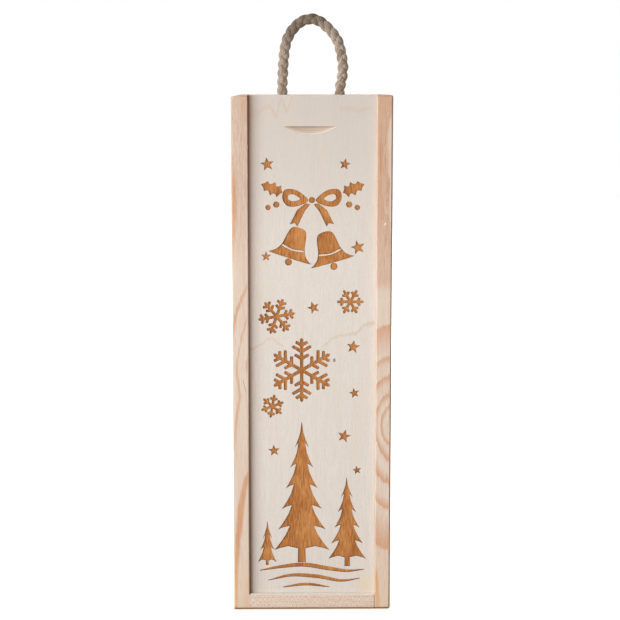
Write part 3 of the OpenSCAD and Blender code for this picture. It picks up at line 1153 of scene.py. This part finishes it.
def mirrored(side):
    """An outline's other half, in the other order, beyond the upright middle line."""
    return [(-a, b) for a, b in reversed(side)]


def ring_of(x, z, reaches, turn=0):
    """Points round a centre, one for each reach."""
    step = 2 * math.pi / len(reaches)
    angles = [math.radians(turn) + i * step for i in range(len(reaches))]
    return [(x + reach * math.cos(angle), z + reach * math.sin(angle))
            for reach, angle in zip(reaches, angles)]


def circle(x, z, radius):
    return ring_of(x, z, [radius] * 20)


def star(x, z, radius, turn=0):
    """A plain five-pointed star."""
    return ring_of(x, z, [radius, radius * 0.42] * 5, 90 + turn)


def snowflake(x, z, radius, half_w, branches, turn=0):
    """Six arms with side branches; each branch is (share of the arm, share of its length)."""
    side = [(half_w / math.tan(math.radians(30)), half_w)]
    slant = math.radians(58)
    for at, size in branches:
        out = Vector((math.cos(slant), math.sin(slant))) * radius * size
        across = Vector((-math.sin(slant), math.cos(slant))) * half_w * 0.9
        foot = Vector((radius * at, half_w))
        side += [tuple(foot + way) for way in (Vector((-half_w, 0)), out + across, out * 1.06,
                                               out - across, Vector((half_w * 1.3, 0)))]
    side.append((radius - half_w, half_w))
    arm = side + [(radius, 0)] + [(a, -b) for a, b in reversed(side[1:])]
    return [point for i in range(6) for point in shaped(x, z, 1, turn + 60 * i, arm[::-1])]


def fir(x, z, width, height, tiers, lean=0):
    """A fir tree on a short trunk, each tier of boughs a pair of drooping curves."""
    trunk_w, trunk_h = width * 0.07, height * 0.10
    side = [(trunk_w, 0), (trunk_w * 0.9, trunk_h)]
    for i in range(tiers):
        share = i / tiers
        reach = width / 2 * (1 - share) ** 0.85
        rise = (height - trunk_h) / tiers * (1.10 - 0.2 * share)
        neck = width / 2 * (1 - (i + 1) / tiers) ** 0.85 * 0.55
        base = trunk_h + (height - trunk_h) * share
        side += [(reach * 0.5, base + rise * 0.10), (reach * 0.82, base + rise * 0.02),
                 (reach, base - rise * 0.06)]
        side += [(neck + (reach - neck) * (1 - t) ** 1.35, base - rise * 0.06 + rise * 0.98 * t)
                 for t in (0.15, 0.38, 0.68)]
    outline = [*side, (0, height), *mirrored(side)]
    return [(x + a + lean * b, z + b) for a, b in outline]


def stroke(points, widest, taper=0.8):
    """A drawn line that swells in the middle and tapers to both ends."""
    line = smooth_line([(a, b, 0) for a, b in points], 2.5)
    left, right = [], []
    for i, (spot, along) in enumerate(zip(line, tangents(line))):
        share = i / (len(line) - 1)
        half = widest / 2 * max(math.sin(math.pi * share), 0.02) ** taper
        left.append((spot.x - along.y * half, spot.y + along.x * half))
        right.append((spot.x + along.y * half, spot.y - along.x * half))
    return right + left[::-1]


def smooth_ring(points):
    """A closed outline curved through the given points."""
    ring = [Vector(point) for point in points]
    made = []
    for i in range(len(ring)):
        made += curve_between(*(ring[(i + k) % len(ring)] for k in (-1, 0, 1, 2)), 3)
    return [tuple(spot) for spot in made]


def bell(x, z, size, turn):
    """A hand bell: its body, a plain band round it, and the clapper below."""
    half = [(0.10, 1.00), (0.24, 0.93), (0.31, 0.70), (0.36, 0.40), (0.47, 0.18), (0.60, 0.06), (0.60, 0)]
    body = smooth_ring(mirrored(half) + half)[::-1]
    band = smooth_ring([(-0.33, 0.36), (0, 0.30), (0.33, 0.36), (0.36, 0.30), (0, 0.24), (-0.36, 0.30)])
    clapper = circle(0, -0.14, 0.105)
    return [shaped(x, z, size, turn, part) for part in (body, band, clapper)]


def bow(x, z, size):
    """A ribbon bow: a knot, two loops with open middles and two tails."""
    loop = smooth_ring([(0.18, -0.06), (0.50, -0.20), (0.86, -0.20), (1.04, 0.06),
                        (0.95, 0.36), (0.55, 0.34), (0.18, 0.06)])
    middle = smooth_ring([(0.62, 0.20), (0.82, 0.20), (0.86, 0.04), (0.66, -0.06), (0.40, 0.04)])
    tail = [(0.08, -0.16), (0.26, -0.38), (0.52, -0.92), (0.60, -0.80), (0.76, -0.84),
            (0.52, -0.36), (0.22, -0.12)]
    parts = [circle(0, 0, 0.10)]
    for part in (loop, middle, tail):
        parts += [part, mirrored(part)]
    return [shaped(x, z, size, 0, part) for part in parts]


def holly_leaf(x, z, size, turn):
    """A leaf with five sharp points and hollow sides."""
    half = [(0, 0), (0.10, 0.10), (0.16, 0.26), (0.26, 0.17), (0.36, 0.15), (0.46, 0.30),
            (0.56, 0.18), (0.66, 0.13), (0.78, 0.22), (0.86, 0.10), (1, 0)]
    outline = half + [(a, -b) for a, b in reversed(half[1:-1])]
    return shaped(x, z, size, turn, outline[::-1])


def engraving_outlines():
    """Firs on drifts of snow, snowflakes, two bells on a bow, holly and stars."""
    marks = [
        fir(-7, 33, 37, 98, 6), fir(-31, 31, 12, 30, 3, 0.01), fir(24.5, 30, 25, 62, 5, -0.01),
        stroke([(-36, 27), (-22, 29.5), (-6, 31), (10, 28.5), (24, 26.5), (36, 27.5)], 2.6),
        stroke([(-30, 20), (-14, 23.5), (4, 22.5), (20, 19.5), (33, 21)], 2.2),
        stroke([(-20, 15), (-4, 17), (12, 15)], 1.6),
        snowflake(-7, 168, 22, 0.95, ((0.38, 0.19), (0.60, 0.27), (0.80, 0.15)), 30),
        snowflake(-24, 205, 12.5, 0.8, ((0.48, 0.20), (0.74, 0.20)), 10),
        snowflake(26, 215, 9, 0.75, ((0.58, 0.22),), 0),
        snowflake(-27, 143, 8, 0.7, ((0.58, 0.22),), 20),
    ]
    marks += bow(0, 284, 19)
    marks += bell(-15, 245, 21, -18) + bell(14, 242, 21, 16)
    marks += [holly_leaf(-20, 289, 15, 158), holly_leaf(21, 289, 15, 22),
              circle(-24, 281, 1.9), circle(25, 281, 1.9), circle(-29.5, 279, 1.6),
              circle(30.5, 279, 1.6)]
    for x, z, radius, turn in ((-30, 308, 4.2, 8), (22, 308, 3.4, -10), (31, 252, 4.4, 14),
                               (-31, 246, 3, 0), (1, 211, 3.8, 20), (28, 184, 4.2, -8),
                               (29, 152, 3.2, 12), (-26, 112, 3.6, 5), (22, 122, 4.2, -14),
                               (31, 98, 2.6, 10)):
        marks.append(star(x, z, radius, turn))
    return marks


def engraving_tool():
    """A tool with the whole engraving's outlines; its walls slope and its floors are flat."""
    drawing = bpy.data.curves.new("engraving", "CURVE")
    drawing.dimensions = "2D"
    drawing.fill_mode = "BOTH"
    drawing.extrude = CUT_DEPTH / 2
    drawing.bevel_depth = CUT_SLOPE
    drawing.bevel_resolution = 0
    for outline in engraving_outlines():
        line = drawing.splines.new("POLY")
        line.points.add(len(outline) - 1)
        line.use_cyclic_u = True
        for point, (a, b) in zip(line.points, outline):
            point.co = (a * MM, b * MM, 0, 1)
    tool = bpy.data.objects.new("engraving", drawing)
    bpy.context.scene.collection.objects.link(tool)
    only(tool)
    bpy.ops.object.convert(target="MESH")
    tool = bpy.context.object
    tool.rotation_euler = (math.pi / 2, 0, 0)
    tool.location = (0, LID_FRONT, 0)
    settle(tool, "engraving")
    in_edit_mode("VERT", ALL_OF_IT, (bpy.ops.mesh.remove_doubles, {"threshold": 0.005 * MM}),
                 (bpy.ops.mesh.normals_make_consistent, {"inside": False}))
    dress(tool, *LID_WOODS)
    for face in tool.data.polygons:
        floor = abs(face.normal.y) > 0.9
        face.material_index = LID_WOODS.index(ENGRAVED if floor else SCORCHED)
    return tool


def sliding_lid():
    """The lid, with a finger notch near its top and the picture cut into its face."""
    lid = block("engraved_lid", LID_LOW, LID_HIGH)
    axis = ((NOTCH_W / 2) ** 2 / NOTCH_DEPTH - NOTCH_DEPTH) / 2
    cut_away(lid, shape("notch", bpy.ops.mesh.primitive_cone_add, vertices=360, radius1=axis,
                        radius2=axis + NOTCH_DEPTH, depth=NOTCH_H,
                        location=(NOTCH_X, LID_FRONT - axis, NOTCH_TOP - NOTCH_H / 2)))
    soften(lid, PLYWOOD_SOFT)
    dress(lid, *LID_WOODS)
    cut_away(lid, engraving_tool())
    return stand_for(lid, "sliding_lid", "lid", "birch_plywood")


# place, half sizes in millimetres, turn, and whether fresh wood shows
RIGHT_DENTS = (
    ((INNER_X + 2 * MM, FRONT_Y, 159.5 * MM), (0.35, 0.6, 1.8), (0, 0.58, 0), False),
    ((48.8 * MM, FRONT_Y, 268 * MM), (0.7, 0.5, 1.3), (0, 0.3, 0), True),
)
LEFT_DENTS = (
    ((-INNER_X, FRONT_Y, 320 * MM), (0.9, 1, 1.8), (0, 0.2, 0), True),
    ((-INNER_X, FRONT_Y, 300 * MM), (0.4, 0.6, 2.2), (0, 0, 0), True),
    ((-45.8 * MM, FRONT_Y, 157 * MM), (0.22, 0.7, 5.4), (0, -0.24, 0), False),
)
LEFT_WEAR_RUN, LEFT_WEAR_DROP = 5 * MM, 1.2 * MM

side_board(1, "right_board", "right_side_board", RIGHT_PINE, RIGHT_LID_EDGE, RIGHT_DENTS)
side_board(-1, "left_board", "left_side_board", LEFT_PINE, LEFT_LID_EDGE, LEFT_DENTS,
           (LEFT_WEAR_RUN, LEFT_WEAR_DROP))
base_board()
crown_board()
back_panel()
sliding_lid()
for node in ("left_side_brads", "right_side_brads", "back_panel_pins"):
    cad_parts[node].data.materials.clear()
    dress(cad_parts[node], STEEL)

# ---- Light and floor ----


def white_floor():
    """A white floor that fades into the white backdrop and keeps the box's shadow."""
    floor = shape("floor", bpy.ops.mesh.primitive_plane_add, size=8, location=(0, 0, -0.2 * MM))
    paper = Finish("white_paper", 0.9, specular=0)
    paper.painted((0.9, 0.9, 0.9, 1))
    spot = paper.add("TexCoord", output="Object")
    x, y, _ = spot.axes()
    by_box = abs(x).larger(abs(y)).fade(OUTER_X - 1 * MM, OUTER_X + 4 * MM, 1, 0)
    # painted shadow colour: close round the box the floor's glow turns warm, so its contact shadow shows
    # warm
    warm_shadow_tint = paper.mix(by_box, (1, 1, 1, 1), (1, 0.88, 0.76, 1))
    glow = paper.add("Emission", warm_shadow_tint, spot.length().fade(0.25, 0.9, 0.62, 1))
    lit = paper.add("AddShader", Value(paper, paper.surface.outputs["BSDF"]), glow)
    grey = paper.add("BsdfDiffuse", (0.6, 0.6, 0.6, 1))
    paper.feed(paper.nodes["Material Output"].inputs["Surface"],
               paper.add("MixShader", paper.looked_at(), grey, lit))
    dress(floor, paper.material)


def white_world(strength):
    """A white backdrop that gives only a little warm light."""
    world = bpy.data.worlds.new("studio")
    bpy.context.scene.world = world
    world.use_nodes = True
    sky = Nodes(world.node_tree)
    dim = sky.add("Background", (1, 0.93, 0.87, 1), strength)
    white = sky.add("Background", (1, 1, 1, 1), 1)
    sky.feed(sky.nodes["World Output"].inputs["Surface"],
             sky.add("MixShader", sky.looked_at(), dim, white))


def soft_light(name, spot, width, height, watts):
    """A wide soft lamp that faces the middle of the box."""
    bpy.ops.object.light_add(type="AREA", location=spot)
    lamp = bpy.context.object
    lamp.name = name
    lamp.rotation_euler = facing_turn(Vector(spot), Vector((0, 0, BOX_TOP / 2)))
    lamp.data.shape = "RECTANGLE"
    lamp.data.size, lamp.data.size_y = width, height
    lamp.data.energy = watts


white_floor()
white_world(0.14)
for lamp in (("above", (-0.2, 0.9, 1.9), 1.2, 1.2, 20),
             ("window", (-1.45, -1.6, 0.6), 2.8, 0.9, 58),
             ("behind", (1.5, 1.7, 0.8), 1.6, 1, 36)):
    soft_light(*lamp)

bpy.context.scene.view_settings.view_transform = "Standard"
